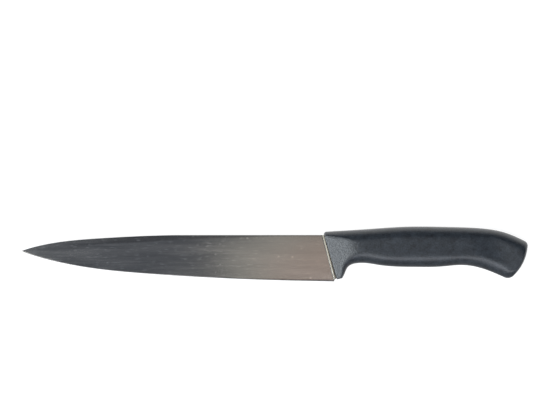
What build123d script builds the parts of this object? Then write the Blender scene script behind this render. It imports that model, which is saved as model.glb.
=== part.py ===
from build123d import *
from math import cos, radians, sin, sqrt, tan
import os

# Carving knife: a ground steel blade with its tang, and a plastic handle moulded round the tang.
# It is drawn with X from the tip to the butt, zero at the heel corner. Y runs from the cutting edge to
# the back, zero on the straight spine, and Z runs across the knife, zero in the middle of the steel.
# The last lines lay it on its side, centred over the origin.

# Blade, seen from the side
blade_length = 210.0
heel_height = 31.1
tip_drop = 10.7
straight_spine = 100.0
edge_rake = 1.0
tip_rake = 22.0
tip_radius = 0.3

# Steel thickness: each flank is ground to a flat plane, fixed at three corners of the blade
stock_thickness = 2.8
grind_depth = 0.25
heel_thickness = 0.68
tip_thickness = 0.56

# Cutting edge, and the plunge where the grinding wheel left the flank
edge_thickness = 0.1
bevel_angle = 15.0
cove_radius = 2.6
plunge_lean = 14.5
strip_width = 0.5

# Tang: it carries on the line of the spine and ends short of the butt
heel_tooth = 1.2
tang_heel_setback = 4.5
tang_heel_rise = 3.2
tang_heel_radius = 1.0
tang_bend = 20.0
tang_length = 105.0
tang_root_setback = 9.0
tang_root_drop = 16.2
tang_end_drop = 3.0
tang_end_height = 11.0
tang_corner = 4.5
tang_root_radius = 4.0
key_count = 3
key_diameter = 6.0
first_key = 26.0
last_key_setback = 15.0

# Handle, seen from the side: its parting line
handle_length = 136.4
face_setback = 7.0
face_lean = 16.3
front_rise = 2.2
crown_rise = 5.7
neck_drop = 18.8
belly_drop = 21.4
waist_drop = 20.1
guard_drop = 29.6
guard_root = 10.0
guard_lip = 5.6
guard_sole = 3.7
sole_rise = 0.7
hook_drop = 29.7
hook_setback = 12.5
butt_top_drop = 4.9
butt_bulge = 3.2
butt_cheek_bulge = 1.2
butt_corner = 3.0
hook_corner = 5.0
sole_corner = 1.2
sole_cheek_corner = 0.5
front_corner = 1.8

# Handle, seen from its back: the nose draws in to the face, and the cheeks hollow before the butt
grip_thickness = 18.0
nose_thickness = 11.6
nose_length = 18.0
nose_blend = 60.0
hollow_depth = 0.8
hollow_start = 85.0
hollow_length = 33.0

# Rails: how far the flat cheeks stay inside the parting line, and how far a rail turns
back_rail = 6.7
belly_rail = 7.5
butt_rail = 3.2
nose_rail = 7.4
rail_turn = 71.0
rail_surplus = 4.0
rail_steps = 12

moulding_gap = 0.02
overrun = 5.0

# Places along the curves, as shares of the size that each follows
edge_shares = ((0.24, 0.961), (0.62, 0.82), (0.813, 0.672))
spine_shares = ((0.52, 0.2), (0.89, 0.665))
crown_shares = (
    (0.235, 0.735, 1.0),
    (0.4, 0.98, 1.0),
    (0.6, 0.955, 1.0),
    (0.762, 0.81, 1.05),
    (0.889, 0.3, 1.1),
)
neck_share = 0.165
belly_start_share = 0.271
belly_start_drop_share = 0.5
belly_share = 0.469
belly_end_share = 0.579
belly_end_drop_share = 0.77
waist_share = 0.668
hook_start_share = 0.766
hook_start_drop_share = 0.19
hook_share = 0.834
hook_drop_share = 0.53
guard_root_share = 0.22
guard_lip_share = 0.725
sole_rail_share = 0.1
underside_rail_shares = (
    (0.2, 0.56),
    (0.18, 1.3),
    (-0.02, 1.12),
    (0.0, 0.88),
    (0.0, 0.98),
    (0.0, 1.02),
    (0.0, 0.92),
    (0.16, 0.98),
    (-0.56, 0.52),
    (-0.44, 0.0),
    (-0.25, 0.12),
)


def mix(start, end, share):
    """The value or point that lies a share of the way from start to end."""
    return start + (end - start) * share


def face_x(y):
    """Where the handle's leaning front face stands at the height y."""
    return -face_setback - y * tan(radians(face_lean))


def face_plane():
    """The plane of the handle's front face, looking into the handle."""
    lean = radians(face_lean)
    return Plane((-face_setback, 0, 0), z_dir=(cos(lean), sin(lean), 0))


def spine_curve():
    """The back of the blade, from its straight stretch down to the tip."""
    curved = blade_length - straight_spine
    points = [Vector(-straight_spine, 0)]
    for along, down in spine_shares:
        points.append(Vector(-straight_spine - along * curved, -down * tip_drop))
    points.append(Vector(-blade_length, -tip_drop))
    falling = Vector(-cos(radians(tip_rake)), -sin(radians(tip_rake)))
    return Spline(*points, tangents=(Vector(-1, 0), falling))


def edge_curve():
    """The cutting edge, from the heel corner up to the tip."""
    points = [Vector(0, -heel_height)]
    for along, down in edge_shares:
        points.append(Vector(-along * blade_length, -down * heel_height))
    points.append(Vector(-blade_length, -tip_drop))
    leaving = Vector(-cos(radians(edge_rake)), sin(radians(edge_rake)))
    arriving = Vector(-cos(radians(tip_rake)), sin(radians(tip_rake)))
    return Spline(*points, tangents=(leaving, arriving))


def tang_outline():
    """The blank from the straight spine round the tang to the heel corner."""
    corners = [
        Vector(-straight_spine, 0),
        Vector(first_key, 0),
        Vector(tang_length, -tang_end_drop),
        Vector(tang_length, -tang_end_drop - tang_end_height),
        Vector(tang_root_setback, -tang_root_drop),
        Vector(tang_heel_setback, -heel_height + heel_tooth + tang_heel_rise),
        Vector(0, -heel_height + heel_tooth),
        Vector(0, -heel_height),
    ]
    radii = [tang_bend, tang_corner, tang_corner, tang_root_radius, tang_heel_radius, 0]
    return FilletPolyline(*corners, radius=radii)


def key_places():
    """Where the tang's holes stand: evenly spaced, and halfway up the tang."""
    places = []
    for number in range(key_count):
        along = mix(first_key, tang_length - last_key_setback, number / (key_count - 1))
        share = (along - tang_root_setback) / (tang_length - tang_root_setback)
        foot = mix(tang_root_drop, tang_end_drop + tang_end_height, share)
        head = mix(0, tang_end_drop, share)
        places.append(Pos(along, -(foot + head) / 2))
    return places


def blank():
    """The flat steel blank as stamped: blade and tang in one outline, with the tang's key holes."""
    outline = make_face(Curve() + [spine_curve(), tang_outline(), edge_curve()])
    outline = fillet(outline.vertices().sort_by(Axis.X)[0], tip_radius)
    steel = extrude(Pos(0, 0, -stock_thickness / 2) * outline, stock_thickness)
    for place in key_places():
        steel -= place * Cylinder(key_diameter / 2, stock_thickness + overrun)
    return steel


def grinding_wheel():
    """What the wheel takes off one side: all above the flank's plane, up to the rounded plunge."""
    spine_corner = Vector(0, 0, stock_thickness / 2 - grind_depth)
    heel_corner = Vector(0, -heel_height, heel_thickness / 2)
    tip_corner = Vector(-blade_length, -tip_drop, tip_thickness / 2)
    flank_normal = (tip_corner - spine_corner).cross(heel_corner - spine_corner).normalized()
    # The cove at the plunge just clears the strip of full thickness ahead of the handle's face
    cove_width = sqrt(2 * cove_radius * grind_depth - grind_depth**2)
    plunge_x = -face_setback - (strip_width + cove_width) / cos(radians(face_lean))
    start = Vector(plunge_x, 0, 0)
    start -= flank_normal * flank_normal.dot(start - spine_corner)
    across = Vector(cos(radians(plunge_lean)), sin(radians(plunge_lean)), 0)
    upward = flank_normal.cross(across).normalized()
    section = Plane(start, x_dir=flank_normal.cross(upward), z_dir=upward)
    reach = blade_length + overrun
    top = stock_thickness + cove_radius
    profile = make_face(Curve() + [
        Line((0, 0), (reach, 0)),
        Line((reach, 0), (reach, top)),
        Line((reach, top), (-cove_radius, top)),
        Line((-cove_radius, top), (-cove_radius, cove_radius)),
        CenterArc((0, cove_radius), cove_radius, 180, 90),
    ])
    return extrude(section * profile, reach, both=True)


def whetstone():
    """What sharpening takes off one side: a bevel along the whole edge, up to the handle's face."""
    edge = edge_curve()
    lead_in = Line(edge @ 0 - (edge % 0) * overrun, edge @ 0)
    lead_out = Line(edge @ 1, edge @ 1 + (edge % 1) * overrun)
    path = Wire([lead_in, edge, lead_out])
    section = Plane(path @ 0, x_dir=(0, 0, 1), z_dir=path % 0)
    slope = tan(radians(bevel_angle))
    low = edge_thickness / 2 - overrun * slope
    reach = (stock_thickness - edge_thickness / 2) / slope
    profile = Polyline((low, -overrun), (stock_thickness, reach), (stock_thickness, -overrun), close=True)
    stone = sweep(section * make_face(profile), path=path)
    return split(stone, bisect_by=face_plane(), keep=Keep.BOTTOM)


def blade():
    """The steel as it leaves the works: stamped, ground on both flanks and sharpened."""
    steel = blank()
    for tool in (grinding_wheel(), whetstone()):
        steel -= tool
        steel -= mirror(tool, Plane.XY)
    return steel


def station(share):
    """The place a share of the way from the handle's face to the end of its butt."""
    return mix(-face_setback, handle_length - face_setback, share)


def on_face(y, behind=0):
    """The point at the height y that lies a distance behind the leaning front face."""
    return Vector(face_x(y) + behind, y)


def back_points():
    """The handle's back: each parting-line point with the cheek-border point inside it."""
    pairs = [(on_face(front_rise), on_face(front_rise - nose_rail))]
    for along, rise, inset in crown_shares:
        parting = Vector(station(along), rise * crown_rise)
        pairs.append((parting, parting - Vector(0, inset * back_rail)))
    butt_top = Vector(station(1), -butt_top_drop)
    pairs.append((butt_top, butt_top - Vector(butt_rail, butt_top_drop)))
    return pairs


def underside_points():
    """The underside from the hook along the grip to the guard's sole, in the same pairs."""
    parting_points = [
        Vector(station(1) - hook_setback, -hook_drop),
        Vector(station(hook_share), -mix(waist_drop, hook_drop, hook_drop_share)),
        Vector(station(hook_start_share), -mix(waist_drop, hook_drop, hook_start_drop_share)),
        Vector(station(waist_share), -waist_drop),
        Vector(station(belly_end_share), -mix(waist_drop, belly_drop, belly_end_drop_share)),
        Vector(station(belly_share), -belly_drop),
        Vector(station(belly_start_share), -mix(neck_drop, belly_drop, belly_start_drop_share)),
        Vector(station(neck_share), -neck_drop),
        on_face(-mix(neck_drop, guard_drop, guard_root_share), guard_root),
        on_face(-mix(neck_drop, guard_drop, guard_lip_share), guard_lip),
        on_face(sole_rise - guard_drop, guard_sole),
    ]
    pairs = []
    for parting, (ahead, up) in zip(parting_points, underside_rail_shares):
        pairs.append((parting, parting + Vector(ahead * belly_rail, up * belly_rail)))
    return pairs


def handle_outline(share):
    """The handle's side outline, from the parting line (share 0) to the flat cheek (share 1)."""
    back = [mix(parting, cheek, share) for parting, cheek in back_points()]
    underside = [mix(parting, cheek, share) for parting, cheek in underside_points()]
    sole_front = on_face(-guard_drop + share * nose_rail * sole_rail_share)
    outline = make_face(Curve() + [
        Spline(*back),
        SagittaArc(back[-1], underside[0], mix(butt_bulge, butt_cheek_bulge, share)),
        Spline(*underside),
        Line(underside[-1], sole_front),
        Line(sole_front, back[0]),
    ])
    corners = (
        (back[0], front_corner),
        (back[-1], butt_corner),
        (underside[0], hook_corner),
        (underside[-1], mix(sole_corner, sole_cheek_corner, share)),
    )
    for point, radius in corners:
        outline = fillet(outline.vertices().sort_by_distance(point)[0], radius)
    return outline


def handle_blank():
    """The handle in the round: side outlines that draw in along the arc of an ellipse.

    There are enough outlines that each strip between two of them turns by only a few degrees.
    """
    sections = []
    for step in range(-rail_steps, rail_steps + 1):
        turn = radians(rail_turn + rail_surplus) * step / rail_steps
        height = grip_thickness / 2 * sin(turn) / sin(radians(rail_turn))
        share = (1 - cos(turn)) / (1 - cos(radians(rail_turn)))
        sections.append(Pos(0, 0, height) * handle_outline(share))
    return loft(sections, ruled=True)


def cheek_plane():
    """What is planed off one cheek: the nose's facet, the flat grip and the hollow at the butt."""
    cheek = grip_thickness / 2
    slope = (grip_thickness - nose_thickness) / 2 / nose_length
    hollow_end = hollow_start + hollow_length
    hollow_foot = (mix(hollow_start, hollow_end, 1 / 2), cheek - hollow_depth)
    rear = handle_length + overrun
    nose = FilletPolyline(
        (-overrun, nose_thickness / 2 - overrun * slope),
        (nose_length, cheek),
        (hollow_start, cheek),
        radius=nose_blend,
    )
    hollow = Spline((hollow_start, cheek), hollow_foot, (hollow_end, cheek), tangents=((1, 0), (1, 0)))
    rest = Polyline((hollow_end, cheek), (rear, cheek), (rear, grip_thickness), (-overrun, grip_thickness), nose @ 0)
    lean = radians(face_lean)
    section = Plane((-face_setback, 0, 0), x_dir=(cos(lean), sin(lean), 0), z_dir=(sin(lean), -cos(lean), 0))
    return extrude(section * make_face(Curve() + [nose, hollow, rest]), handle_length, both=True)


def tang_seat():
    """The room that the steel takes up in the handle, with the keys left standing in its holes."""
    outline = tang_outline()
    steel = make_face(Curve() + [outline, Line(outline @ 1, outline @ 0)])
    depth = stock_thickness + 2 * moulding_gap
    seat = extrude(Pos(0, 0, -depth / 2) * offset(steel, moulding_gap), depth)
    for place in key_places():
        seat -= place * Cylinder(key_diameter / 2 - moulding_gap, depth + overrun)
    return seat


def handle():
    """The moulded handle: its cheeks planed, and hollow only where the steel runs."""
    plastic = handle_blank()
    planed = cheek_plane()
    plastic -= planed
    plastic -= mirror(planed, Plane.XY)
    plastic -= tang_seat()
    return plastic


pieces = {"blade": blade(), "handle": handle()}
whole = pieces["blade"].bounding_box().add(pieces["handle"].bounding_box())
ground = Pos(-whole.center().X, -whole.center().Y, -whole.min.Z)
os.makedirs("parts", exist_ok=True)
for name, piece in pieces.items():
    export_step(ground * piece, f"parts/{name}.step")
    print(name, round(piece.volume, 1))
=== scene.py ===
# %% [markdown]
# # A carving knife, dressed around its CAD frame
# The knife lies on its side on a pale table, and the camera looks straight down on it. Two pieces make it:
# a blade of satin-ground stainless steel and a handle of black plastic, moulded round the blade's tang.
# The CAD model gives the frame. Lengths are in metres, unless a comment says otherwise, and in the CAD's
# own axes: X runs from the tip to the butt, Y from the cutting edge to the back, and Z up from the table.

# %% Load the frame
import bmesh
import bpy
import numpy as np
from math import cos, pi, radians, sin, tan
from mathutils import Matrix, Vector


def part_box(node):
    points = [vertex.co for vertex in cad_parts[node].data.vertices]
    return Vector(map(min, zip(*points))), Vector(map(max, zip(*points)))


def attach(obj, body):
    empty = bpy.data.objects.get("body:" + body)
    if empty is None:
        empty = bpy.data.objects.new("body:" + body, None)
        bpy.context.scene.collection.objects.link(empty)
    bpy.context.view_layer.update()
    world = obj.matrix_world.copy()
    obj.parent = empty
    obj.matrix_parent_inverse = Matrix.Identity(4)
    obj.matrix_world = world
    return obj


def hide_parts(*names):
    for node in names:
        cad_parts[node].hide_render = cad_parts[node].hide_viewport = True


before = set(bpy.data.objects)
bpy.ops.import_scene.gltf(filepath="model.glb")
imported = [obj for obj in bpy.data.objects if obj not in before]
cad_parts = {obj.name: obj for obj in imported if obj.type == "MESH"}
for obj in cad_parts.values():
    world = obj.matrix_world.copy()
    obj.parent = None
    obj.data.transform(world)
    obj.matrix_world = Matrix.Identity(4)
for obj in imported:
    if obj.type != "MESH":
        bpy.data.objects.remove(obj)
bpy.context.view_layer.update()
MM = 0.001
blade_low, blade_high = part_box("blade")
handle_low, handle_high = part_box("handle")

# %% [markdown]
# ## Five small tools
# Colours are written as the hex values that a colour picker shows. Blender calculates in linear light, so
# one function turns them over. A second one adds a node with its settings and its links, for materials and
# Geometry Nodes alike. The others put data into the scene, take the mesh that modifiers make, and give a
# finished mesh its name and its material.

# %% Colours, nodes and pieces
def linear(hex_colour):
    """An sRGB colour such as #b0a89e as the linear RGBA that sockets want."""
    channels = [int(hex_colour[start:start + 2], 16) / 255 for start in (1, 3, 5)]
    bent = [c / 12.92 if c <= 0.04045 else ((c + 0.055) / 1.055) ** 2.4 for c in channels]
    return (*bent, 1.0)


def add(tree, kind, feeds=None, **settings):
    """A new node: settings are its own properties, and feeds are values or sockets for its inputs."""
    node = tree.nodes.new(kind)
    for name, value in settings.items():
        setattr(node, name, value)
    for name, value in (feeds or {}).items():
        if isinstance(value, bpy.types.NodeSocket):
            tree.links.new(value, node.inputs[name])
        else:
            node.inputs[name].default_value = value
    return node


def put(name, data):
    """A new object at the origin, made of this mesh, lamp or camera."""
    obj = bpy.data.objects.new(name, data)
    bpy.context.scene.collection.objects.link(obj)
    return obj


def as_mesh(obj):
    """What the object's modifiers make of it, as a plain mesh."""
    return bpy.data.meshes.new_from_object(obj.evaluated_get(bpy.context.evaluated_depsgraph_get()))


def piece(name, mesh, material):
    """An object at the origin that shows this mesh in this material."""
    mesh.name = name
    mesh.materials.clear()
    mesh.materials.append(material)
    return put(name, mesh)


print("#808080 in linear light:", round(linear("#808080")[0], 3))

# %% [markdown]
# ## The handle's two outlines
# A moulded handle is drawn as two outlines. The outer one is the parting line, where the two halves of the
# mould met. The inner one is the border of the flat cheek. It could be modelled by pushing a box about,
# but a real mould is cut from such curves, so curves give its character sooner. These are the CAD's own
# numbers, in millimetres: X from the heel of the blade towards the butt, and Y up from the line of the
# spine, so that a rise stands above that line and a drop hangs below it.

# %% Sizes of the handle
handle_length, face_setback, face_lean = 136.4, 7.0, radians(16.3)
front_rise, crown_rise, neck_drop, belly_drop, waist_drop = 2.2, 5.7, 18.8, 21.4, 20.1
guard_drop, guard_root, guard_lip, guard_sole, sole_rise = 29.6, 10.0, 5.6, 3.7, 0.7
hook_drop, hook_setback, butt_top_drop, butt_bulge, butt_cheek_bulge = 29.7, 12.5, 4.9, 3.2, 1.2
front_corner, butt_corner, hook_corner, sole_corner, sole_cheek_corner = 1.8, 3.0, 5.0, 1.2, 0.5
back_rail, belly_rail, butt_rail, nose_rail, sole_rail_share = 6.7, 7.5, 3.2, 7.4, 0.1
grip_thickness, rail_turn = 18.0, radians(71)

# Along the back: the share of the length, and the shares of the crown's rise and the back's rail
crown_shares = (
    (0.235, 0.735, 1.0), (0.4, 0.98, 1.0), (0.6, 0.955, 1.0), (0.762, 0.81, 1.05), (0.889, 0.3, 1.1),
)
# Along the grip's underside: the share of the length, two drops, and the share of the way between them
grip_shares = (
    (0.834, waist_drop, hook_drop, 0.53), (0.766, waist_drop, hook_drop, 0.19),
    (0.668, waist_drop, hook_drop, 0.0), (0.579, waist_drop, belly_drop, 0.77),
    (0.469, belly_drop, waist_drop, 0.0), (0.271, neck_drop, belly_drop, 0.5),
    (0.165, neck_drop, belly_drop, 0.0),
)
# Down the guard: the share of the way to its sole, and how far behind the front face
guard_shares = ((0.22, guard_root), (0.725, guard_lip))
# From each point of the underside to the cheek's border, in shares of the belly's rail
underside_rail_shares = (
    (0.2, 0.56), (0.18, 1.3), (-0.02, 1.12), (0.0, 0.88), (0.0, 0.98), (0.0, 1.02),
    (0.0, 0.92), (0.16, 0.98), (-0.56, 0.52), (-0.44, 0.0), (-0.25, 0.12),
)


def mix(start, end, share):
    """The value or point that lies a share of the way from start to end."""
    return start + (end - start) * share


def at(share):
    """How far along the handle a share of its length is."""
    return mix(-face_setback, handle_length - face_setback, share)


def on_face(y, behind=0.0):
    """The point at the height y that lies a distance behind the leaning front face."""
    return np.array([-face_setback - y * tan(face_lean) + behind, y])


def back_points(share):
    """The back's points on the outline that lies a share of the way from parting line to cheek."""
    pairs = [(on_face(front_rise), on_face(front_rise - nose_rail))]
    for along, rise, inset in crown_shares:
        parting = np.array([at(along), rise * crown_rise])
        pairs.append((parting, parting - (0, inset * back_rail)))
    butt_top = np.array([at(1), -butt_top_drop])
    pairs.append((butt_top, butt_top - (butt_rail, butt_top_drop)))
    return [mix(parting, cheek, share) for parting, cheek in pairs]


def underside_points(share):
    """The same for the underside, from the hook along the grip to the guard's sole."""
    parting = [
        (at(1) - hook_setback, -hook_drop),
        *((at(along), -mix(drop, other_drop, way)) for along, drop, other_drop, way in grip_shares),
        *(on_face(-mix(neck_drop, guard_drop, way), behind) for way, behind in guard_shares),
        on_face(sole_rise - guard_drop, guard_sole),
    ]
    insets = np.multiply(underside_rail_shares, belly_rail * share)
    return [np.add(point, inset) for point, inset in zip(parting, insets)]


print("the back runs from", back_points(0)[0].round(1), "to", back_points(0)[-1].round(1))

# %% [markdown]
# A smooth curve through those points is a natural cubic spline, the curve that a thin springy batten takes
# when it is pinned at each point. Where two curves meet, the mould's corner is rounded. Each curve is
# worked out very densely first, and then only as many points are picked as the mesh needs.

# %% Curves and rounded corners
DENSE, CUT_STEPS = 2400, 12


def batten(points):
    """A dense line along the natural cubic spline through these points."""
    points = np.array(points, float)
    runs = np.linalg.norm(np.diff(points, axis=0), axis=1)
    system, right = np.eye(len(points)), np.zeros_like(points)
    for k in range(1, len(points) - 1):
        system[k, k - 1:k + 2] = runs[k - 1], 2 * (runs[k - 1] + runs[k]), runs[k]
        right[k] = 6 * ((points[k + 1] - points[k]) / runs[k] - (points[k] - points[k - 1]) / runs[k - 1])
    bend = np.linalg.solve(system, right)
    place = np.linspace(0, len(points) - 1, DENSE)
    span = np.minimum(place.astype(int), len(points) - 2)
    t, run = (place - span)[:, None], runs[span][:, None]
    sag = ((1 - t) ** 3 - (1 - t)) * bend[span] + (t ** 3 - t) * bend[span + 1]
    return points[span] * (1 - t) + points[span + 1] * t + run ** 2 / 6 * sag


def straight(start, end):
    """A dense straight line."""
    return mix(np.array(start), np.array(end), np.linspace(0, 1, DENSE)[:, None])


def bow(start, end, bulge):
    """A dense arc that stands out from its chord by the bulge, to the left of the way from start to end."""
    chord = end - start
    half = np.linalg.norm(chord) / 2
    radius = (half ** 2 + bulge ** 2) / (2 * bulge)
    out = np.array([-chord[1], chord[0]]) / (2 * half)
    centre = (start + end) / 2 + out * (bulge - radius)
    reach = np.arcsin(half / radius)
    turn = np.linspace(-reach, reach, DENSE)[:, None]
    return centre + radius * (np.cos(turn) * out + np.sin(turn) * chord / (2 * half))


def pick(line, places):
    """The points of a dense line at these places, as numbers of its own steps."""
    return np.column_stack([np.interp(places, np.arange(len(line)), line[:, axis]) for axis in (0, 1)])


def corner(before, after, radius, steps):
    """Rounds the corner between two dense lines: where each is cut, and the points of the arc between."""
    walked_back = np.cumsum(np.linalg.norm(np.diff(before[::-1], axis=0), axis=1))
    walked_on = np.cumsum(np.linalg.norm(np.diff(after, axis=0), axis=1))
    cut = radius
    for _ in range(CUT_STEPS):
        ends = len(before) - 1 - np.searchsorted(walked_back, cut), np.searchsorted(walked_on, cut)
        arriving = before[ends[0]] - before[ends[0] - 1]
        leaving = after[ends[1] + 1] - after[ends[1]]
        turn = np.arccos(np.dot(arriving, leaving) / np.linalg.norm(arriving) / np.linalg.norm(leaving))
        cut = mix(cut, radius * tan(turn / 2), 0.5)
    start, end = before[ends[0]], after[ends[1]]
    pull = np.linalg.norm(end - start) / (2 * sin(turn / 2)) * tan(turn / 4) * 4 / 3
    first = start + arriving / np.linalg.norm(arriving) * pull
    second = end - leaving / np.linalg.norm(leaving) * pull
    t = np.linspace(0, 1, steps + 1)[:, None]
    arc = start * (1 - t) ** 3 + first * 3 * t * (1 - t) ** 2 + second * 3 * t ** 2 * (1 - t) + end * t ** 3
    return ends[0], ends[1], arc


print("each curve has", DENSE, "points")

# %% [markdown]
# The points of both outlines are picked in step, so that point 40 of one belongs with point 40 of the
# other. The ring starts at the top of the front face, runs along the back to the middle of the butt, and
# comes home along the underside. The flat cheek is spanned later by ribs from the back to the underside,
# so the back's points stand over the underside's. Only towards the nose the ribs lean: one with its foot
# at 15 mm has its head at 12 mm.

# %% The two rings of points
FACE_STEPS, BUTT_STEPS, UNDERSIDE_STEPS, SOLE_STEPS = 28, 9, 168, 3
CORNER_STEPS = {"front": 12, "butt": 8, "hook": 12, "sole": 8}
HALF_RING = BUTT_STEPS + CORNER_STEPS["hook"] + UNDERSIDE_STEPS + CORNER_STEPS["sole"] + SOLE_STEPS
BACK_STEPS = HALF_RING - CORNER_STEPS["front"] - CORNER_STEPS["butt"] - BUTT_STEPS
RIB_FEET, RIB_HEADS = (15.0, 60.0), (12.0, 60.0)


def sides(share):
    """The outline's sides as dense lines, the span of each between its corners, and the corners' arcs."""
    back_ends, under_ends = back_points(share), underside_points(share)
    sole_front = on_face(-guard_drop + share * nose_rail * sole_rail_share)
    lines = {
        "face": straight(sole_front, back_ends[0]),
        "back": batten(back_ends),
        "butt": bow(back_ends[-1], under_ends[0], mix(butt_bulge, butt_cheek_bulge, share)),
        "underside": batten(under_ends),
        "sole": straight(under_ends[-1], sole_front),
    }
    rounded = {
        "front": ("face", "back", front_corner),
        "butt": ("back", "butt", butt_corner),
        "hook": ("butt", "underside", hook_corner),
        "sole": ("underside", "sole", mix(sole_corner, sole_cheek_corner, share)),
    }
    starts, ends, arcs = {"face": 0}, {"sole": DENSE - 1}, {}
    for name, (first, then, radius) in rounded.items():
        ends[first], starts[then], arcs[name] = corner(lines[first], lines[then], radius, CORNER_STEPS[name])
    return lines, {name: (starts[name], ends[name]) for name in lines}, arcs


def ring(share, back_shares, underside_shares):
    """All points of the outline, in step with those of any other share."""
    lines, spans, arcs = sides(share)
    return np.vstack([
        arcs["front"],
        pick(lines["back"], mix(*spans["back"], back_shares))[1:],
        arcs["butt"][1:],
        pick(lines["butt"], np.linspace(*spans["butt"], 2 * BUTT_STEPS + 1))[1:],
        arcs["hook"][1:],
        pick(lines["underside"], mix(*spans["underside"], underside_shares))[1:],
        arcs["sole"][1:],
        pick(lines["sole"], np.linspace(*spans["sole"], SOLE_STEPS + 1))[1:],
        pick(lines["face"], np.linspace(*spans["face"], FACE_STEPS + 1))[1:-1],
    ])


def even_shares(line, start, end, steps):
    """Shares that lie evenly by length on the part of a dense line between two of its places."""
    walked = np.cumsum(np.linalg.norm(np.diff(line[start:end + 1], axis=0), axis=1))
    shares = np.linspace(0, 1, end - start + 1)
    return np.interp(np.linspace(0, walked[-1], steps + 1), np.r_[0, walked], shares)


lines, spans, _ = sides(0)
underside_shares = even_shares(lines["underside"], *spans["underside"], UNDERSIDE_STEPS)
underside_x = pick(lines["underside"], mix(*spans["underside"], underside_shares))[::-1, 0]
back_x = lines["back"][spans["back"][0]:spans["back"][1] + 1, 0]
feet_x = np.interp(np.linspace(0, 1, BACK_STEPS + 1), np.linspace(0, 1, UNDERSIDE_STEPS + 1), underside_x)
feet, heads = (underside_x[0], *RIB_FEET, underside_x[-1]), (back_x[0], *RIB_HEADS, back_x[-1])
back_shares = np.interp(np.interp(feet_x, feet, heads), back_x, np.linspace(0, 1, len(back_x)))
parting_ring = ring(0, back_shares, underside_shares)
cheek_ring = ring(1, back_shares, underside_shares)
print(len(parting_ring), "points round the parting line, height", round(float(np.ptp(parting_ring[:, 1])), 2))

# %% [markdown]
# ## Geometry Nodes: how high the cheek stands
# The cheek isn't flat all over. At the nose it is planed down towards the blade, and before the butt it is
# hollowed by less than a millimetre. Both depend only on how far a point lies behind the front face, so one
# small node group answers for every point.

# %% Node group for the planed cheek
def new_tree(name, inputs, outputs):
    """An empty Geometry Nodes tree with these sockets, its input sockets and its output sockets."""
    tree = bpy.data.node_groups.new(name, "GeometryNodeTree")
    for way, sockets in (("INPUT", inputs), ("OUTPUT", outputs)):
        for label, kind in sockets.items():
            tree.interface.new_socket(label, in_out=way, socket_type="NodeSocket" + kind)
    return tree, tree.nodes.new("NodeGroupInput").outputs, tree.nodes.new("NodeGroupOutput").inputs


cheek_sizes = {
    "Face Point": "Vector", "Face Direction": "Vector", "Grip Thickness": "Float",
    "Nose Thickness": "Float", "Nose Length": "Float", "Nose Blend": "Float",
    "Hollow Depth": "Float", "Hollow Start": "Float", "Hollow Length": "Float",
}
planing, given, result = new_tree("planed_cheek", {"Point": "Vector", **cheek_sizes}, {"Height": "Float"})
from_face = add(planing, "ShaderNodeVectorMath", {
    0: given["Point"], 1: given["Face Point"],
}, operation="SUBTRACT").outputs[0]
behind = add(planing, "ShaderNodeVectorMath", {
    0: from_face, 1: given["Face Direction"],
}, operation="DOT_PRODUCT").outputs["Value"]
cheek = add(planing, "ShaderNodeMath", {0: given["Grip Thickness"], 1: 0.5}, operation="MULTIPLY").outputs[0]
nose = add(planing, "ShaderNodeMath", {0: given["Nose Thickness"], 1: 0.5}, operation="MULTIPLY").outputs[0]
facet = add(planing, "ShaderNodeMapRange", {
    "Value": behind, "From Min": 0.0, "From Max": given["Nose Length"], "To Min": nose, "To Max": cheek,
}, clamp=False).outputs[0]
planed = add(planing, "ShaderNodeMath", {
    0: facet, 1: cheek, 2: given["Nose Blend"],
}, operation="SMOOTH_MIN").outputs[0]
half = add(planing, "ShaderNodeMath", {0: given["Hollow Length"], 1: 0.5}, operation="MULTIPLY").outputs[0]
middle = add(planing, "ShaderNodeMath", {0: given["Hollow Start"], 1: half}, operation="ADD").outputs[0]
from_middle = add(planing, "ShaderNodeMath", {0: behind, 1: middle}, operation="SUBTRACT").outputs[0]
aside = add(planing, "ShaderNodeMath", {0: from_middle}, operation="ABSOLUTE").outputs[0]
hollow = add(planing, "ShaderNodeMapRange", {
    "Value": aside, "From Min": 0.0, "From Max": half, "To Min": given["Hollow Depth"], "To Max": 0.0,
}, interpolation_type="SMOOTHSTEP").outputs[0]
height = add(planing, "ShaderNodeMath", {0: planed, 1: hollow}, operation="SUBTRACT").outputs[0]
planing.links.new(height, result["Height"])
print(len(planing.nodes), "nodes plane the cheek")

# %% [markdown]
# ## Geometry Nodes: the handle itself
# Between the parting line and the cheek's border, the section of the handle follows the arc of an ellipse.
# Small functions write the nodes that are needed more than once: where a turn of that rail brings a point,
# how high the cheek stands there, and how soft both are beside the crease between them. Such a crease is
# rubbed down on the mould, so it is soft over two millimetres on either side.

# %% Sockets and helpers of the handle's tree
handle_inputs = {
    "Ring": "Geometry", "Ring Points": "Int", "Rail Steps": "Int", "Cheek Rows": "Int",
    "Rib Steps": "Int", "Rail Turn": "Float", "Crease Width": "Float", "Crease Drop": "Float",
    **cheek_sizes, "Material": "Material",
}
loft, given, result = new_tree("moulded_handle", handle_inputs, {"Handle": "Geometry"})
index = add(loft, "GeometryNodeInputIndex").outputs[0]
position = add(loft, "GeometryNodeInputPosition").outputs[0]
half_grip = add(loft, "ShaderNodeMath", {0: given["Grip Thickness"], 1: 0.5}, operation="MULTIPLY").outputs[0]
full_sine = add(loft, "ShaderNodeMath", {0: given["Rail Turn"]}, operation="SINE").outputs[0]
full_cosine = add(loft, "ShaderNodeMath", {0: given["Rail Turn"]}, operation="COSINE").outputs[0]
full_draw = add(loft, "ShaderNodeMath", {0: 1.0, 1: full_cosine}, operation="SUBTRACT").outputs[0]


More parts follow.
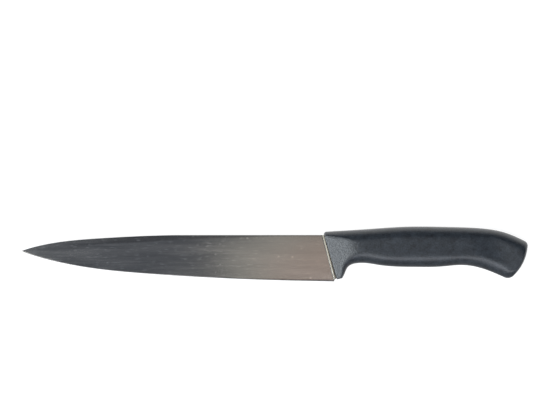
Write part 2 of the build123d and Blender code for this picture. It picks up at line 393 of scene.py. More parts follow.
def point_in_rail(turn, parting, border):
    """Where a turn of the rail brings a point: drawn in from the parting line, and raised."""
    cosine = add(loft, "ShaderNodeMath", {0: turn}, operation="COSINE").outputs[0]
    draw = add(loft, "ShaderNodeMath", {0: 1.0, 1: cosine}, operation="SUBTRACT").outputs[0]
    share = add(loft, "ShaderNodeMath", {0: draw, 1: full_draw}, operation="DIVIDE").outputs[0]
    drawn = add(loft, "ShaderNodeMix", {
        "Factor": share, 4: parting, 5: border,
    }, data_type="VECTOR", clamp_factor=False).outputs[1]
    sine = add(loft, "ShaderNodeMath", {0: turn}, operation="SINE").outputs[0]
    risen = add(loft, "ShaderNodeMath", {0: sine, 1: full_sine}, operation="DIVIDE").outputs[0]
    up = add(loft, "ShaderNodeMath", {0: risen, 1: half_grip}, operation="MULTIPLY").outputs[0]
    raised = add(loft, "ShaderNodeCombineXYZ", {2: up}).outputs[0]
    return add(loft, "ShaderNodeVectorMath", {0: drawn, 1: raised}, operation="ADD").outputs[0]


def cheek_height(point):
    """The node group that answers how high the cheek stands at a point."""
    sizes = {label: given[label] for label in cheek_sizes}
    return add(loft, "GeometryNodeGroup", {"Point": point, **sizes}, node_tree=planing).outputs[0]


def softness(point, creases):
    """How soft the surface is there, from 1 on the nearest crease to 0 at its width, along a parabola."""
    away = given["Crease Width"]
    for crease in creases:
        gap = add(loft, "ShaderNodeVectorMath", {0: point, 1: crease}, operation="DISTANCE").outputs["Value"]
        away = add(loft, "ShaderNodeMath", {0: gap, 1: away}, operation="MINIMUM").outputs[0]
    close = add(loft, "ShaderNodeMapRange", {
        "Value": away, "From Min": 0.0, "From Max": given["Crease Width"], "To Min": 1.0, "To Max": 0.0,
    }).outputs[0]
    return add(loft, "ShaderNodeMath", {0: close, 1: close}, operation="MULTIPLY").outputs[0]


print("the tree takes", len(handle_inputs), "inputs")

# %% [markdown]
# A grid is bent into the rail: its rows are the ring's points, and its columns turn from the lower cheek
# over the parting line to the upper cheek. How far a row turns depends on the cheek's height there, and
# that is found in three short steps, each starting from the point that the last one found.

# %% The rails
SEARCH_STEPS = 3
twice = add(loft, "ShaderNodeMath", {0: given["Rail Steps"], 1: 2.0}, operation="MULTIPLY").outputs[0]
columns = add(loft, "ShaderNodeMath", {0: twice, 1: 1.0}, operation="ADD").outputs[0]
rows = add(loft, "ShaderNodeMath", {0: given["Ring Points"], 1: 1.0}, operation="ADD").outputs[0]
rail_grid = add(loft, "GeometryNodeMeshGrid", {"Vertices X": rows, "Vertices Y": columns})
whole_rows = add(loft, "ShaderNodeMath", {0: index, 1: columns}, operation="DIVIDE").outputs[0]
row = add(loft, "ShaderNodeMath", {0: whole_rows}, operation="FLOOR").outputs[0]
ring_row = add(loft, "ShaderNodeMath", {0: row, 1: given["Ring Points"]}, operation="MODULO").outputs[0]
stored = add(loft, "GeometryNodeInputNamedAttribute", {"Name": "cheek_point"}, data_type="FLOAT_VECTOR")
parting, border = [
    add(loft, "GeometryNodeSampleIndex", {
        "Geometry": given["Ring"], "Value": value, "Index": ring_row,
    }, data_type="FLOAT_VECTOR").outputs[0]
    for value in (position, stored.outputs[0])
]
meeting = border
for _ in range(SEARCH_STEPS):
    height = cheek_height(meeting)
    lift = add(loft, "ShaderNodeMath", {0: height, 1: half_grip}, operation="DIVIDE").outputs[0]
    sine = add(loft, "ShaderNodeMath", {0: lift, 1: full_sine}, operation="MULTIPLY").outputs[0]
    turn_limit = add(loft, "ShaderNodeMath", {0: sine}, operation="ARCSINE").outputs[0]
    meeting = point_in_rail(turn_limit, parting, border)
column = add(loft, "ShaderNodeMath", {0: index, 1: columns}, operation="MODULO").outputs[0]
signed = add(loft, "ShaderNodeMath", {0: column, 1: given["Rail Steps"]}, operation="SUBTRACT").outputs[0]
turn_share = add(loft, "ShaderNodeMath", {0: signed, 1: given["Rail Steps"]}, operation="DIVIDE").outputs[0]
turn = add(loft, "ShaderNodeMath", {0: turn_share, 1: turn_limit}, operation="MULTIPLY").outputs[0]
on_rail = point_in_rail(turn, parting, border)
print(len(loft.nodes), "nodes bend the rails")

# %% [markdown]
# Beside the crease the rail sinks a little towards the handle's middle plane. The front face is part of the
# grid too. Its border wasn't rubbed down, so there the softness fades out near its top and its foot.

# %% The soft crease
side = add(loft, "ShaderNodeMath", {0: turn}, operation="SIGN").outputs[0]
mirror = add(loft, "ShaderNodeCombineXYZ", {0: 1.0, 1: 1.0, 2: side}).outputs[0]
crease = add(loft, "ShaderNodeVectorMath", {0: meeting, 1: mirror}, operation="MULTIPLY").outputs[0]
face_start = add(loft, "ShaderNodeMath", {0: given["Cheek Rows"], 1: 2.0}, operation="MULTIPLY").outputs[0]
start_index = add(loft, "ShaderNodeMath", {0: face_start, 1: columns}, operation="MULTIPLY").outputs[0]
face_ends = [
    add(loft, "GeometryNodeFieldAtIndex", {
        "Value": meeting, "Index": end_index,
    }, data_type="FLOAT_VECTOR").outputs[0]
    for end_index in (0, start_index)
]
on_front = add(loft, "ShaderNodeMath", {0: ring_row, 1: face_start}, operation="GREATER_THAN").outputs[0]
fade = add(loft, "ShaderNodeMix", {0: on_front, 2: 1.0, 3: softness(meeting, face_ends)}).outputs[0]
near_crease = softness(on_rail, [crease])
soft = add(loft, "ShaderNodeMath", {0: near_crease, 1: fade}, operation="MULTIPLY").outputs[0]
sunk = add(loft, "ShaderNodeMath", {0: soft, 1: given["Crease Drop"]}, operation="MULTIPLY").outputs[0]
inward = add(loft, "ShaderNodeMath", {0: sunk, 1: side}, operation="MULTIPLY").outputs[0]
shift = add(loft, "ShaderNodeCombineXYZ", {2: inward}).outputs[0]
eased = add(loft, "ShaderNodeVectorMath", {0: on_rail, 1: shift}, operation="SUBTRACT").outputs[0]
rails = add(loft, "GeometryNodeSetPosition", {
    "Geometry": rail_grid.outputs["Mesh"], "Position": eased,
}).outputs[0]
print(len(loft.nodes), "nodes with the crease")

# %% [markdown]
# A second grid spans the cheek. Each of its rows is a rib from a point of the back to its partner on the
# underside. The lower cheek is the upper one mirrored. Then the three parts are welded into one closed
# shell, made real and given their material.

# %% The cheeks and the closed shell
WELD = 0.02 * MM
rib_points = add(loft, "ShaderNodeMath", {0: given["Rib Steps"], 1: 1.0}, operation="ADD").outputs[0]
cheek_rows = add(loft, "ShaderNodeMath", {0: given["Cheek Rows"], 1: 1.0}, operation="ADD").outputs[0]
cheek_grid = add(loft, "GeometryNodeMeshGrid", {"Vertices X": cheek_rows, "Vertices Y": rib_points})
whole_ribs = add(loft, "ShaderNodeMath", {0: index, 1: rib_points}, operation="DIVIDE").outputs[0]
rib = add(loft, "ShaderNodeMath", {0: whole_ribs}, operation="FLOOR").outputs[0]
partner = add(loft, "ShaderNodeMath", {0: face_start, 1: rib}, operation="SUBTRACT").outputs[0]
ends = []
for ring_index in (rib, partner):
    first = add(loft, "ShaderNodeMath", {0: ring_index, 1: columns}, operation="MULTIPLY").outputs[0]
    upper = add(loft, "ShaderNodeMath", {0: first, 1: twice}, operation="ADD").outputs[0]
    ends.append(add(loft, "GeometryNodeSampleIndex", {
        "Geometry": rails, "Value": position, "Index": upper,
    }, data_type="FLOAT_VECTOR").outputs[0])
step = add(loft, "ShaderNodeMath", {0: index, 1: rib_points}, operation="MODULO").outputs[0]
across = add(loft, "ShaderNodeMath", {0: step, 1: given["Rib Steps"]}, operation="DIVIDE").outputs[0]
on_rib = add(loft, "ShaderNodeMix", {"Factor": across, 4: ends[0], 5: ends[1]}, data_type="VECTOR").outputs[1]
plan = add(loft, "ShaderNodeSeparateXYZ", {0: on_rib}).outputs
near_crease = softness(on_rib, ends)
sunk = add(loft, "ShaderNodeMath", {0: near_crease, 1: given["Crease Drop"]}, operation="MULTIPLY").outputs[0]
level = add(loft, "ShaderNodeMath", {0: cheek_height(on_rib), 1: sunk}, operation="SUBTRACT").outputs[0]
on_cheek = add(loft, "ShaderNodeCombineXYZ", {0: plan[0], 1: plan[1], 2: level}).outputs[0]
upper_cheek = add(loft, "GeometryNodeSetPosition", {
    "Geometry": cheek_grid.outputs["Mesh"], "Position": on_cheek,
}).outputs[0]
lower_cheek = add(loft, "GeometryNodeTransform", {"Geometry": upper_cheek, "Scale": (1, 1, -1)}).outputs[0]
joined = add(loft, "GeometryNodeJoinGeometry")
for part in (rails, upper_cheek, lower_cheek):
    loft.links.new(part, joined.inputs[0])
closed = add(loft, "GeometryNodeMergeByDistance", {"Geometry": joined.outputs[0], "Distance": WELD})
realized = add(loft, "GeometryNodeRealizeInstances", {"Geometry": closed.outputs[0]})
dressed = add(loft, "GeometryNodeSetMaterial", {
    "Geometry": realized.outputs[0], "Material": given["Material"],
}).outputs[0]
loft.links.new(dressed, result["Handle"])
print(len(loft.nodes), "nodes loft the handle")

# %% [markdown]
# The tree is put on the ring of points as a modifier, its inputs are set by the sockets' identifiers, and
# the result is taken as a plain mesh. The heel of the blade is the zero of the drawing, and it stands in
# the CAD's frame at the length of the tang before the blade's last point, on the line of the spine. The
# hollow differs from the CAD's: it starts 6 mm nearer the butt, where the shine in the photograph puts it.

# %% Run the tree and keep its mesh
RAIL_STEPS, TANG_LENGTH = 14, 105 * MM
heel = Vector((blade_high.x - TANG_LENGTH, blade_high.y, (handle_low.z + handle_high.z) / 2))
into_handle = Vector((cos(face_lean), sin(face_lean), 0.0))

plastic = bpy.data.materials.new("moulded_polypropylene")
steel = bpy.data.materials.new("satin_ground_stainless_steel")
ring_mesh = bpy.data.meshes.new("handle_ring")
ring_mesh.from_pydata([(x * MM, y * MM, 0.0) for x, y in parting_ring], [], [])
attribute = ring_mesh.attributes.new("cheek_point", "FLOAT_VECTOR", "POINT")
attribute.data.foreach_set("vector", np.column_stack([cheek_ring * MM, np.zeros(len(cheek_ring))]).ravel())
ring_object = put("handle_ring", ring_mesh)
modifier = ring_object.modifiers.new("moulded_handle", "NODES")
modifier.node_group = loft
handle_sizes = {
    "Ring Points": len(parting_ring), "Rail Steps": RAIL_STEPS, "Cheek Rows": HALF_RING,
    "Rib Steps": FACE_STEPS, "Rail Turn": rail_turn, "Crease Width": 2.2 * MM, "Crease Drop": 0.16 * MM,
    "Face Point": (-face_setback * MM, 0.0, 0.0), "Face Direction": tuple(into_handle),
    "Grip Thickness": grip_thickness * MM, "Nose Thickness": 11.6 * MM, "Nose Length": 18.0 * MM,
    "Nose Blend": 1.4 * MM, "Hollow Depth": 0.8 * MM, "Hollow Start": 91.0 * MM, "Hollow Length": 33.0 * MM,
    "Material": plastic,
}
for socket in loft.interface.items_tree:
    if socket.in_out == "INPUT" and socket.name in handle_sizes:
        modifier[socket.identifier] = handle_sizes[socket.name]
handle_mesh = as_mesh(ring_object)
bpy.data.objects.remove(ring_object)
handle_mesh.transform(Matrix.Translation(heel))
print("handle:", len(handle_mesh.vertices), "points,", len(handle_mesh.polygons), "faces")

# %% [markdown]
# A mould never has a knife-sharp edge. The border of the front face gets a rounding of half a millimetre,
# and every other edge that is still crisp gets a fifth of a millimetre. A rounding catches a thin line of
# light, which is what tells the eye that the border is real.

# %% Ease the handle's edges
MOUTH_EASED, MOUTH_STEPS, EASED, EASED_STEPS = 0.5 * MM, 8, 0.2 * MM, 3
IN_LINE, CRISP = radians(2), radians(14)


def ease(form, edges, reach, steps):
    """Rounds these edges of a form, as far as this reach on either side."""
    bmesh.ops.bevel(
        form, geom=edges, offset=reach, segments=steps, profile=0.5, affect="EDGES", clamp_overlap=True,
    )
    form.normal_update()


shell = bmesh.new()
shell.from_mesh(handle_mesh)
bmesh.ops.recalc_face_normals(shell, faces=shell.faces)
is_front = {face: face.normal.dot(-into_handle) > cos(IN_LINE) for face in shell.faces}
mouth = [edge for edge in shell.edges if len({is_front[face] for face in edge.link_faces}) == 2]
ease(shell, mouth, MOUTH_EASED, MOUTH_STEPS)
crisp = [edge for edge in shell.edges if edge.calc_face_angle(0) > CRISP]
ease(shell, crisp, EASED, EASED_STEPS)
for face in shell.faces:
    face.smooth = True
shell.to_mesh(handle_mesh)
shell.free()
handle = piece("handle_shell", handle_mesh, plastic)
print("eased", len(mouth), "edges round the face and", len(crisp), "others")

# %% [markdown]
# ## The blade
# The blade is a flat sheet of steel, ground on both flanks. The CAD has its true form, with the cove where
# the wheel stopped and the bevel along the edge. What it lacks is the touch of the polishing belt on the
# corners of the spine, so a copy of its mesh is merged and those corners are rounded. The back's faces are
# told by looking along Y, and the flanks' by looking along Z.

# %% Copy, merge and ease the blade
SPINE_EASED, SPINE_STEPS, SAME_POINT, SAME_PLANE = 0.6 * MM, 3, 0.001 * MM, radians(0.4)
BACK_LOOKS, FLANK_LOOKS = 0.8, 0.9
steel_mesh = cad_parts["blade"].data.copy()
form = bmesh.new()
form.from_mesh(steel_mesh)
bmesh.ops.remove_doubles(form, verts=form.verts, dist=SAME_POINT)
bmesh.ops.dissolve_limit(form, angle_limit=SAME_PLANE, verts=form.verts, edges=form.edges)
form.normal_update()


def is_back(face):
    """Whether the face belongs to the back of the blade, ahead of the handle."""
    return face.normal.y > BACK_LOOKS and face.calc_center_median().x < heel.x


spine = [
    edge for edge in form.edges
    if len(edge.link_faces) == 2 and is_back(edge.link_faces[0]) != is_back(edge.link_faces[1])
    and max(abs(face.normal.z) for face in edge.link_faces) > FLANK_LOOKS
]
ease(form, spine, SPINE_EASED, SPINE_STEPS)
print(len(spine), "spine edges eased")

# %% [markdown]
# Grinding runs along the blade, so the blade carries a map of its own that runs along it too. Its U is the
# place along the blade. Its V is the height against the line of the spine, which curves down to the tip, so
# it falls below zero towards the edge. The narrow faces that lean down to the edge are marked as whetted.
# Then each edge of the mesh is called smooth or sharp: the cove is one smooth hollow, and the bevel starts
# at a crisp line.

# %% Mark the grinding and the whetted edge
STATIONS, LEAST_LEAN, MOST_LEAN, NOT_ZERO = 160, tan(radians(8)), 1.0, 0.001
COVE_FROM, COVE_TO = -4 * MM, -0.3 * MM
COVE_CRISP, BLADE_CRISP, SPINE_LOOKS = radians(18), radians(4), 0.15
FACE_PLACE = -face_setback * cos(face_lean) * MM
grain = form.loops.layers.uv.new("grinding")
stations = np.linspace(blade_low.x, blade_high.x, STATIONS)
tops = sorted((vert.co.x, vert.co.y) for vert in form.verts if any(is_back(face) for face in vert.link_faces))
spine_line = np.interp(stations, [x for x, _ in tops], [y for _, y in tops])
whetted = form.faces.layers.float.new("whetted")
for face in form.faces:
    face.smooth = True
    lean = -face.normal.y / max(abs(face.normal.z), NOT_ZERO)
    face[whetted] = float(LEAST_LEAN < lean < MOST_LEAN and face.calc_center_median().x < heel.x)
    for loop in face.loops:
        loop[grain].uv = (loop.vert.co.x, loop.vert.co.y - np.interp(loop.vert.co.x, stations, spine_line))
for edge in form.edges:
    behind_face = (edge.verts[0].co - heel).dot(into_handle) - FACE_PLACE
    limit = COVE_CRISP if COVE_FROM < behind_face < COVE_TO else BLADE_CRISP
    on_spine = all(face.normal.y > SPINE_LOOKS for face in edge.link_faces)
    edge.smooth = edge.calc_face_angle(0) < limit or on_spine
form.to_mesh(steel_mesh)
form.free()
blade = piece("ground_blade", steel_mesh, steel)
print("blade:", len(steel_mesh.polygons), "faces")

# %% [markdown]
# The plastic grips the steel tightly, and a fine dark line shows where the two meet. To draw that line, the
# plastic here stays a hair's breadth clear of the steel. A copy of the blade, grown by that much, cuts its
# own pocket. The plastic that filled the tang's holes stays standing, as it does in the real handle.

# %% Cut the blade's pocket into the handle
JOINT_GAP = 0.15 * MM
grown_mesh = steel_mesh.copy()
grown = bmesh.new()
grown.from_mesh(grown_mesh)
bmesh.ops.remove_doubles(grown, verts=grown.verts, dist=SAME_POINT)
grown.normal_update()
moves = [vert.normal * vert.calc_shell_factor() * JOINT_GAP for vert in grown.verts]
for vert, move in zip(grown.verts, moves):
    vert.co += move
grown.to_mesh(grown_mesh)
grown.free()
cutter = put("pocket_cutter", grown_mesh)
pocket = handle.modifiers.new("pocket", "BOOLEAN")
pocket.operation, pocket.solver, pocket.object = "DIFFERENCE", "EXACT", cutter
cut_mesh = as_mesh(handle)
handle.modifiers.clear()
bpy.data.objects.remove(cutter)
handle.data = cut_mesh
print("pocket cut:", len(cut_mesh.polygons), "faces")

# %% [markdown]
# ## Steel
# Stainless blade steel, ground lengthwise with a fine belt of about 240 grit. The belt leaves scratches of
# a few hundredths of a millimetre, too fine for this picture, so they are drawn about a quarter of a
# millimetre wide. They stretch the shine across the blade, a quarter turn from the tangent that the map
# gives. Bands 6 mm wide and streaks 0.9 mm wide are where the belt bit unevenly. They show more towards the
# tip, where the blade was ground thinnest, so their contrast depends on the map's U. A pattern's scale is
# the number of its marks to a metre, along the blade and across it: streaks 0.9 mm wide go 1100 to a metre.

# %% Material: satin-ground stainless steel
DULL_STEEL, BRIGHT_STEEL, SMOOTHEST, ROUGHEST = "#888682", "#bbb7af", 0.14, 0.2
SCRATCHES, BANDS, STREAKS, STREAK_SHARE = (60.0, 3600.0), (19.0, 170.0), (34.0, 1100.0), 0.4
UNEVEN_AT, EVEN_AT, UNEVEN_SPAN, EVEN_SPAN = -50 * MM, 0.0, 0.26, 0.65
steel.use_nodes = True
tree = steel.node_tree
tree.nodes.clear()
surface = add(tree, "ShaderNodeBsdfPrincipled", {
    "Metallic": 1.0, "Anisotropic": 0.9, "Anisotropic Rotation": 0.25,
})
add(tree, "ShaderNodeOutputMaterial", {"Surface": surface.outputs[0]})
tangent = add(tree, "ShaderNodeTangent", direction_type="UV_MAP", uv_map="grinding")
tree.links.new(tangent.outputs[0], surface.inputs["Tangent"])
place = add(tree, "ShaderNodeTexCoord").outputs["Object"]
grinding = add(tree, "ShaderNodeUVMap", uv_map="grinding").outputs[0]
along, depth = add(tree, "ShaderNodeSeparateXYZ", {0: grinding}).outputs[:2]


def lengthwise(per_metre, **noise):
    """Noise drawn out along the blade, with so many marks to a metre."""
    stretched = add(tree, "ShaderNodeMapping", {"Vector": place, "Scale": (*per_metre, 1.0)}).outputs[0]
    return add(tree, "ShaderNodeTexNoise", {"Vector": stretched, "Scale": 1.0, **noise}).outputs[0]


scratches = lengthwise(SCRATCHES, Detail=3.0, Roughness=0.6)
bump = add(tree, "ShaderNodeBump", {"Height": scratches, "Strength": 0.15, "Distance": 0.02 * MM})
tree.links.new(bump.outputs[0], surface.inputs["Normal"])
bands, streaks = lengthwise(BANDS, Detail=2.0), lengthwise(STREAKS, Detail=3.0)
wear = add(tree, "ShaderNodeMix", {0: STREAK_SHARE, 2: bands, 3: streaks}).outputs[0]
span = add(tree, "ShaderNodeMapRange", {
    "Value": along, "From Min": UNEVEN_AT, "From Max": EVEN_AT, "To Min": UNEVEN_SPAN, "To Max": EVEN_SPAN,
}).outputs[0]
lowest = add(tree, "ShaderNodeMath", {0: 0.5, 1: span}, operation="SUBTRACT").outputs[0]
highest = add(tree, "ShaderNodeMath", {0: 0.5, 1: span}, operation="ADD").outputs[0]
worn = add(tree, "ShaderNodeMapRange", {"Value": wear, "From Min": lowest, "From Max": highest}).outputs[0]
rough = add(tree, "ShaderNodeMapRange", {"Value": worn, "To Min": SMOOTHEST, "To Max": ROUGHEST}).outputs[0]
coats = [(worn, BRIGHT_STEEL)]
print("steel ground with", len(tree.nodes), "nodes")

# %% [markdown]
# A darker band lies under the spine. It is widest in the front half
# and ends before the tip.

# %% Steel: the band under the spine
BAND_COLOUR, BAND_STRENGTH, BAND_GONE_AT, BAND_FULL_AT = "#4c4a48", 0.45, -140 * MM, -110 * MM
BAND_WIDE_AT, BAND_NARROW_AT, BAND_WIDE, BAND_NARROW = -90 * MM, 0.0, 3.6 * MM, 0.6 * MM
BAND_FADES_OUT, BAND_FADES_IN = 0.5 * MM, 0.3 * MM
band_depth = add(tree, "ShaderNodeMapRange", {
    "Value": along, "From Min": BAND_WIDE_AT, "From Max": BAND_NARROW_AT,
    "To Min": -BAND_WIDE, "To Max": -BAND_NARROW,
}).outputs[0]
above = add(tree, "ShaderNodeMath", {0: depth, 1: band_depth}, operation="SUBTRACT").outputs[0]
band = add(tree, "ShaderNodeMapRange", {
    "Value": above, "From Min": -BAND_FADES_OUT, "From Max": BAND_FADES_IN,
}).outputs[0]
from_tip = add(tree, "ShaderNodeMapRange", {
    "Value": along, "From Min": BAND_GONE_AT, "From Max": BAND_FULL_AT, "To Max": BAND_STRENGTH,
}).outputs[0]
banded = add(tree, "ShaderNodeMath", {0: band, 1: from_tip}, operation="MULTIPLY").outputs[0]
coats.append((banded, BAND_COLOUR))
print("steel banded with", len(tree.nodes), "nodes")

# %% [markdown]
# Specks about a millimetre across are nicks from use, and scuffs 5 mm long and 1 mm wide are where the blade
# was wiped. Both are lighter than the rest, and scuffs are mostly in the front half. The bevel along the
# edge was whetted on a finer stone, so it is smoother, and it is painted darker as a painted dark reflection.

# %% Steel: the specks, the scuffs and the whetted edge
MARK_COLOUR, MARK_STRENGTH, SCUFFS, SCUFF_FAINT, SCUFF_FULL = "#d8d4cc", 0.5, (190.0, 800.0), 0.58, 0.74
SPECKS, SPECK_CHANCE, SPECK_CORE, SPECK_RIM = 330.0, 0.12, 0.1, 0.28
WIPED_AT, SPARED_AT, SPARED_SHARE = -50 * MM, 10 * MM, 0.3
# The whetted bevel's darker colour is a painted dark reflection; only its lower roughness is real.
PAINTED_EDGE_REFLECTION, PAINTED_EDGE_REFLECTION_STRENGTH, WHETTED_ROUGHNESS = "#5f5a54", 0.5, 0.12
spots = add(tree, "ShaderNodeTexVoronoi", {"Vector": place, "Scale": SPECKS})
near = add(tree, "ShaderNodeMapRange", {
    "Value": spots.outputs["Distance"], "From Min": SPECK_CORE, "From Max": SPECK_RIM,
    "To Min": MARK_STRENGTH, "To Max": 0.0,
}).outputs[0]
chance = add(tree, "ShaderNodeSeparateColor", {0: spots.outputs["Color"]}).outputs[0]
chosen = add(tree, "ShaderNodeMath", {0: chance, 1: 1 - SPECK_CHANCE}, operation="GREATER_THAN").outputs[0]
speck = add(tree, "ShaderNodeMath", {0: near, 1: chosen}, operation="MULTIPLY").outputs[0]
marked = add(tree, "ShaderNodeMapRange", {
    "Value": lengthwise(SCUFFS, Detail=2.0), "From Min": SCUFF_FAINT, "From Max": SCUFF_FULL,
    "To Max": MARK_STRENGTH,
}).outputs[0]
in_front = add(tree, "ShaderNodeMapRange", {
    "Value": along, "From Min": WIPED_AT, "From Max": SPARED_AT, "To Min": 1.0, "To Max": SPARED_SHARE,
}).outputs[0]
scuff = add(tree, "ShaderNodeMath", {0: marked, 1: in_front}, operation="MULTIPLY").outputs[0]
edge = add(tree, "ShaderNodeAttribute", attribute_name="whetted").outputs["Fac"]
# Painted dark reflection: this share darkens the whetted bevel.
painted_edge_reflection = add(tree, "ShaderNodeMath", {0: edge, 1: PAINTED_EDGE_REFLECTION_STRENGTH}, operation="MULTIPLY").outputs[0]
rough = add(tree, "ShaderNodeMix", {0: edge, 2: rough, 3: WHETTED_ROUGHNESS}).outputs[0]
coats += [(speck, MARK_COLOUR), (scuff, MARK_COLOUR), (painted_edge_reflection, PAINTED_EDGE_REFLECTION)]
print("steel worn with", len(tree.nodes), "nodes")

# %% [markdown]
# In the cove beside the handle the round wheel left the steel matt, and the cove is painted a little darker
# and yellower as a painted tone for its reflection. The last hair's breadth before the plastic is painted
# dark as painted shade, and that draws the joint as a fine dark line. Both are placed by the distance from
# the leaning front face, measured in the piece's own coordinates. At the end all the coats of colour are
# laid over the dull steel, one after the other.

# %% Steel: the cove, the joint and the coats of colour
# The cove's darker, yellower colour is a painted tone of its reflection; its matt roughness is real.
COVE_PAINTED_TINT, COVE_ROUGHNESS, COVE_START, COVE_FULL = "#736e64", 0.5, 2.2 * MM, 1.4 * MM
# The dark colour at the joint is painted shade, where the groove next to the plastic is in shade.
JOINT_PAINTED_SHADE, JOINT_SHADE_START, JOINT_SHADE_FULL = "#2e2c2a", 0.45 * MM, 0.2 * MM
from_heel = add(tree, "ShaderNodeVectorMath", {0: place, 1: heel}, operation="SUBTRACT").outputs[0]
inwards = add(tree, "ShaderNodeVectorMath", {
    0: from_heel, 1: into_handle,
}, operation="DOT_PRODUCT").outputs["Value"]
# The joint mask lays painted shade; the cove mask lays the real matt roughness and the painted reflection
# tint.
cove, joint_shade = [
    add(tree, "ShaderNodeMapRange", {
        "Value": inwards, "From Min": FACE_PLACE - start, "From Max": FACE_PLACE - full,
    }).outputs[0]
    for start, full in ((COVE_START, COVE_FULL), (JOINT_SHADE_START, JOINT_SHADE_FULL))
]
rough = add(tree, "ShaderNodeMix", {0: cove, 2: rough, 3: COVE_ROUGHNESS}).outputs[0]
coats += [(cove, COVE_PAINTED_TINT), (joint_shade, JOINT_PAINTED_SHADE)]
tone = linear(DULL_STEEL)
for factor, colour in coats:
    tone = add(tree, "ShaderNodeMix", {
        "Factor": factor, 6: tone, 7: linear(colour),
    }, data_type="RGBA").outputs[2]
tree.links.new(tone, surface.inputs["Base Color"])
tree.links.new(rough, surface.inputs["Roughness"])
print("steel finished with", len(coats), "coats of colour")

# %% [markdown]
# ## Plastic
# The handle is polypropylene, injection-moulded in a finely blasted mould. That leaves a satin shine and a
# grain of about a third of a millimetre. This is half a pixel here, so the grain is drawn 0.9 mm wide, 1100
# to a metre. The melt also cooled unevenly, which mottles the black over about 4 mm, 260 to a metre. The
# black is a blue one, from its carbon pigment.

# %% Material: moulded polypropylene
DARK_PLASTIC, LIGHT_PLASTIC, GRAIN, MOTTLE, GRAIN_SHARE = "#05070a", "#272c31", 1100.0, 260.0, 0.55
MOTTLE_DARK, MOTTLE_LIGHT = 0.32, 0.68
plastic.use_nodes = True
tree = plastic.node_tree
tree.nodes.clear()
surface = add(tree, "ShaderNodeBsdfPrincipled", {"Roughness": 0.37, "IOR": 1.49})
add(tree, "ShaderNodeOutputMaterial", {"Surface": surface.outputs[0]})
place = add(tree, "ShaderNodeTexCoord").outputs["Object"]
blasted = add(tree, "ShaderNodeTexNoise", {"Vector": place, "Scale": GRAIN, "Detail": 2.0}).outputs[0]
bump = add(tree, "ShaderNodeBump", {"Height": blasted, "Strength": 0.6, "Distance": 0.15 * MM})
tree.links.new(bump.outputs[0], surface.inputs["Normal"])
cloud = add(tree, "ShaderNodeTexNoise", {"Vector": place, "Scale": MOTTLE, "Detail": 3.0}).outputs[0]
mottle = add(tree, "ShaderNodeMix", {0: GRAIN_SHARE, 2: cloud, 3: blasted}).outputs[0]
mottled = add(tree, "ShaderNodeMapRange", {
    "Value": mottle, "From Min": MOTTLE_DARK, "From Max": MOTTLE_LIGHT,
}).outputs[0]
black = add(tree, "ShaderNodeMix", {
    "Factor": mottled, 6: linear(DARK_PLASTIC), 7: linear(LIGHT_PLASTIC),
}, data_type="RGBA").outputs[2]
tree.links.new(black, surface.inputs["Base Color"])
print("plastic moulded with", len(tree.nodes), "nodes")

# %% [markdown]
# ## Table
# The photograph was taken from straight above, and its ground was whitened afterwards. The table is a sheet
# of opal acrylic with lamps under its back half, so shadows on it stay faint. The handle mirrors it as it
# was, dim in front and bright behind, and that is why its lower outline is dark and its upper one light.
# The Light Path node then whitens the ground for the picture only.

# %% Table
TABLE_REACH, ACRYLIC_COLOUR, LAMP_COLOUR = 3.0, "#686868", "#ffffff"
FRONT_GLOW, BACK_GLOW, GLOW_TURNS, PICTURED_GLOW = 0.12, 1.4, 30 * MM, 0.93
table_mesh = bpy.data.meshes.new("table")
table_corners = [(x * TABLE_REACH, y * TABLE_REACH, 0) for x, y in ((-1, -1), (1, -1), (1, 1), (-1, 1))]
table_mesh.from_pydata(table_corners, [], [(0, 1, 2, 3)])
acrylic = bpy.data.materials.new("backlit_opal_acrylic")
acrylic.use_nodes = True
tree = acrylic.node_tree
glow = tree.nodes["Principled BSDF"].inputs
glow["Base Color"].default_value = linear(ACRYLIC_COLOUR)
glow["Roughness"].default_value = 0.9
glow["Emission Color"].default_value = linear(LAMP_COLOUR)
on_table = add(tree, "ShaderNodeTexCoord").outputs["Object"]
backward = add(tree, "ShaderNodeSeparateXYZ", {0: on_table}).outputs[1]
real = add(tree, "ShaderNodeMapRange", {
    "Value": backward, "From Min": -GLOW_TURNS, "From Max": GLOW_TURNS,
    "To Min": FRONT_GLOW, "To Max": BACK_GLOW,
}).outputs[0]
pictured = add(tree, "ShaderNodeLightPath").outputs["Is Camera Ray"]
strength = add(tree, "ShaderNodeMix", {0: pictured, 2: real, 3: PICTURED_GLOW}).outputs[0]
tree.links.new(strength, glow["Emission Strength"])
table = piece("table", table_mesh, acrylic)
print("table laid")

# %% [markdown]
# ## Light
# A smooth blade shows where a lamp stands by its angle and not by its distance. So each soft lamp is given
# by the angles at which the knife sees it, and all stand 6 m away. The window on the left shines on the
# planed nose but just misses the tip, and its far end lights the cove. Three panels on the ceiling make the
# blade warmer from left to right and leave the butt cool. The hook card and the front card draw the light
# band along the lower rail. The two low cards show only from the side: there the steel mirrors them.

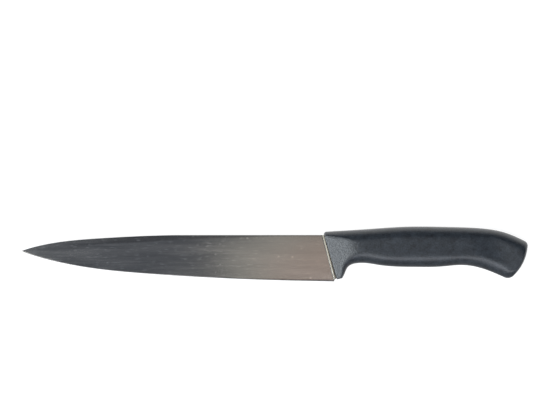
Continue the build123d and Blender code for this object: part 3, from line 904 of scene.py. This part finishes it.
# %% Lamps
LAMP_DISTANCE = 6.0
lamps = {
    # name: (tilt to +X, tilt to +Y, width and depth in degrees, colour, strength as power by area and pi)
    "window_left": (-32, -10, 30, 28, "#f4fbff", 15.0),
    "window_far_end": (-58, -10, 26, 28, "#fff6e6", 2.0),
    "plain_ceiling": (-2.0, -5, 2.2, 44, "#fdfcee", 0.54),
    "warm_ceiling": (2.1, -5, 6.0, 44, "#ffe0ca", 0.59),
    "cool_ceiling": (8.8, -5, 7.4, 44, "#dfe9ff", 0.48),
    "hook_card": (11, -31.5, 8, 11, "#f4f7ff", 2.4),
    "front_card": (-18, -51.5, 64, 29, "#f4f7ff", 3.8),
    "left_rear_low": (-57, 57, 60, 26, "#f4f7ff", 1.0),
    "right_front_low": (69, -69, 60, 20, "#f4f7ff", 1.0),
}
for name, (to_x, to_y, wide, deep, colour, power) in lamps.items():
    facing = Vector((tan(radians(to_x)), tan(radians(to_y)), 1.0)).normalized()
    level = Vector((0, 1, 0)).cross(facing).normalized()
    lamp = bpy.data.lights.new(name, "AREA")
    lamp.shape = "RECTANGLE"
    lamp.size, lamp.size_y = (2 * LAMP_DISTANCE * tan(radians(angle / 2)) for angle in (wide, deep))
    lamp.energy = power * pi * lamp.size * lamp.size_y
    lamp.color = linear(colour)[:3]
    holder = put(name, lamp)
    holder.location = facing * LAMP_DISTANCE
    holder.rotation_euler = Matrix((level, facing.cross(level), facing)).transposed().to_euler()
print(len(lamps), "lamps hung")

# %% [markdown]
# The room itself is dim and blue overhead, with paler walls.

# %% Room
ROOM_COLOUR, WALL_GLOW, CEILING_GLOW, CEILING_FROM = "#cfdcf5", 0.6, 0.225, 0.3
world = bpy.data.worlds.new("studio")
bpy.context.scene.world = world
world.use_nodes = True
tree = world.node_tree
direction = add(tree, "ShaderNodeTexCoord").outputs["Generated"]
upward = add(tree, "ShaderNodeSeparateXYZ", {0: direction}).outputs[2]
wall = add(tree, "ShaderNodeMapRange", {
    "Value": upward, "From Max": CEILING_FROM, "To Min": WALL_GLOW, "To Max": CEILING_GLOW,
}).outputs[0]
tree.nodes["Background"].inputs["Color"].default_value = linear(ROOM_COLOUR)
tree.links.new(wall, tree.nodes["Background"].inputs["Strength"])
print("room lit with", len(tree.nodes), "nodes")

# %% [markdown]
# ## Camera
# The camera stands 88 cm over the knife with a long lens, a little towards the back of the blade, so that
# the knife lies below the middle. One pixel of the picture is 0.67 mm of the knife.

# %% Camera
PIXEL, ASIDE_PIXELS, BACK_PIXELS = 0.6707 * MM, 1.8, 47.0
LENS, SENSOR, IMAGE_WIDTH = 85.0, 36.0, 553
camera_data = bpy.data.cameras.new("camera")
camera_data.lens, camera_data.sensor_width = LENS, SENSOR
camera = put("camera", camera_data)
rise = IMAGE_WIDTH * PIXEL * LENS / SENSOR
camera.location = (ASIDE_PIXELS * PIXEL, BACK_PIXELS * PIXEL, heel.z + rise)
bpy.context.scene.camera = camera
bpy.context.scene.view_settings.view_transform = "Standard"
print("camera", round(rise / MM), "mm over the knife")

# %% [markdown]
# ## Hand over to the frame
# Both pieces ride on the one body, and the CAD nodes that they stand for are hidden.

# %% Pieces on the body
for made, node, slot in ((blade, "blade", "blade_steel"), (handle, "handle", "handle_plastic")):
    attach(made, "root")
    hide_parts(node)
